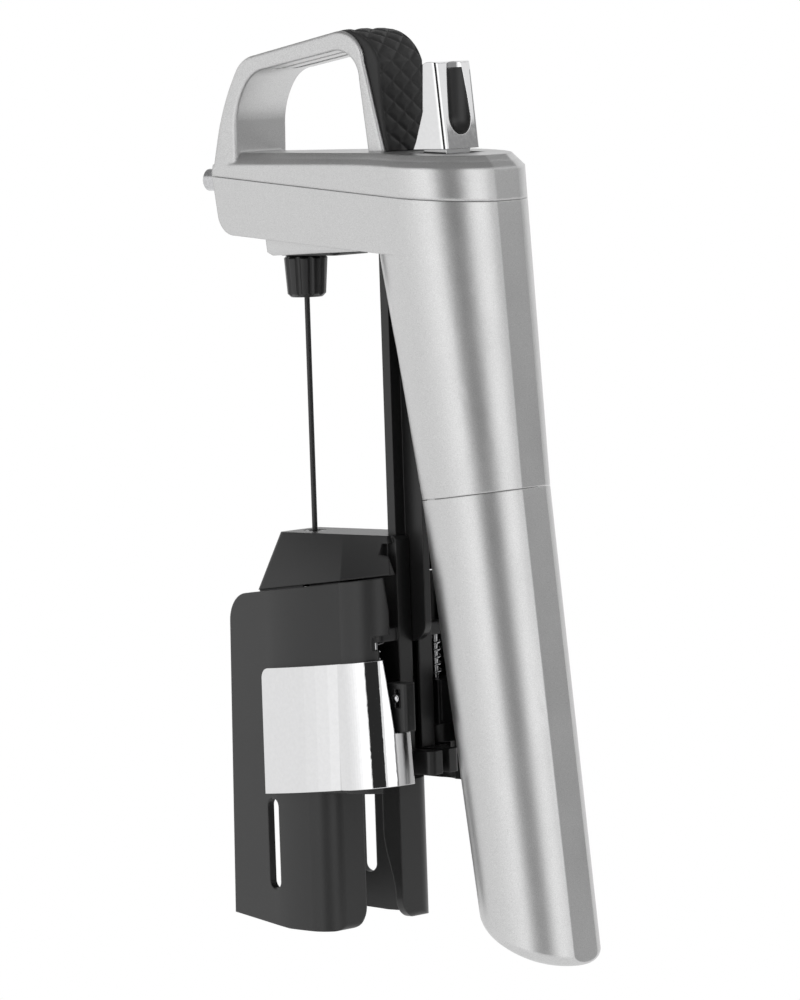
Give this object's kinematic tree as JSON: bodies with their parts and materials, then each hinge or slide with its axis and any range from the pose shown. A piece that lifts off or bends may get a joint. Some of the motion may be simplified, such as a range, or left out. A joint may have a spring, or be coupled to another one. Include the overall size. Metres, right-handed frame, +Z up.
{
  "type": "wine preservation dispenser",
  "caption": "Handheld wine dispenser with sprung jaws for a bottle's neck, a hollow needle on a sliding head, a gas capsule tube, a looped handle, a thumb trigger and a spout.",
  "frame": {"origin": "on the needle's axis, halfway up the grip that holds the bottle's neck", "axes": "+Z up along the needle, +X towards the gas tube, +Y towards the far jaw of the picture"},
  "size_m": [0.1222, 0.0474, 0.2459],
  "materials": {
    "satin_silver": "satin metallic",
    "chrome": "mirror",
    "soft_black": "soft touch",
    "black_plastic": "fine moulded",
    "needle_black": "black low-friction coat on steel",
    "grip_rubber": "quilted",
    "pad_rubber": "matt",
    "brake_felt": "felt",
    "guide_bush": "smooth",
    "steel": "bright",
    "capsule_steel": "plated",
    "regulator_metal": "machined"
  },
  "bodies": {
    "clamp": {"clamp_housing": "soft_black", "needle_guide": "guide_bush", "stop_pad": "pad_rubber", "neck_saddle": "pad_rubber", "rail_brake_pad": "brake_felt", "lower_bracket": "black_plastic", "bracket_screws": "steel", "hinge_pins": "steel", "far_jaw_spring": "steel", "near_jaw_spring": "steel"},
    "far_jaw": {"far_jaw_shell": "soft_black", "far_jaw_plate": "chrome", "far_grip_pad": "pad_rubber", "far_keeper_pin": "steel"},
    "near_jaw": {"near_jaw_shell": "soft_black", "near_jaw_plate": "chrome", "near_grip_pad": "pad_rubber", "near_keeper_pin": "steel"},
    "head": {"top_cover": "satin_silver", "body_casing": "satin_silver", "handle_grip": "grip_rubber", "cover_screws": "steel", "pour_spout": "steel", "wine_tube": "steel", "gas_tube": "steel", "valve_block": "black_plastic", "needle_seal": "pad_rubber", "trigger_pin": "steel", "regulator_body": "regulator_metal", "capsule_seal": "pad_rubber", "piercing_pin": "steel", "guide_rail": "black_plastic", "rail_screws": "steel", "valve_spring": "steel"},
    "needle": {"needle": "needle_black", "needle_nut": "black_plastic"},
    "trigger": {"trigger": "chrome"},
    "valve": {"valve_stem": "steel"},
    "capsule": {"gas_capsule": "capsule_steel"},
    "cup": {"capsule_cup": "satin_silver", "cup_collar": "black_plastic", "capsule_rest": "black_plastic"}
  },
  "joints": [
    {"name": "head_slide", "type": "slide", "parent": "clamp", "child": "head", "axis": [0, 0, -1], "range_m": [0, 0.057]},
    {"name": "far_jaw_hinge", "type": "hinge", "parent": "clamp", "child": "far_jaw", "pos_m": [0.03, 0.0125, 0], "axis": [0, 0, -1], "range_deg": [0, 12], "stiffness_Nm_per_rad": 0.12, "springref_deg": -20.05},
    {"name": "near_jaw_hinge", "type": "hinge", "parent": "clamp", "child": "near_jaw", "pos_m": [0.03, -0.0125, 0], "axis": [0, 0, 1], "range_deg": [0, 12], "stiffness_Nm_per_rad": 0.12, "springref_deg": -20.05},
    {"name": "needle_turn", "type": "hinge", "parent": "head", "child": "needle", "pos_m": [0, 0, 0.11], "axis": [0, 0, 1], "continuous": true},
    {"name": "trigger_press", "type": "hinge", "parent": "head", "child": "trigger", "pos_m": [0.0575, 0, 0.1392], "axis": [0, -1, 0], "range_deg": [0, 9], "stiffness_Nm_per_rad": 0.8, "springref_deg": -6.88},
    {"name": "valve_slide", "type": "slide", "parent": "head", "child": "valve", "axis": [0.1175, 0, -0.9931], "range_m": [0, 0.0012], "deforming": ["valve_spring"]},
    {"name": "cup_pull", "type": "slide", "parent": "head", "child": "capsule", "axis": [0.1175, 0, -0.9931], "range_m": [0, 0.03]},
    {"name": "cup_turn", "type": "hinge", "parent": "capsule", "child": "cup", "pos_m": [0.0597, 0, 0.0565], "axis": [0.1175, 0, -0.9931], "continuous": true}
  ],
  "couplings": [
    {"joint": "valve_slide", "follows": "trigger_press", "m_per_rad": 0.0075}
  ]
}
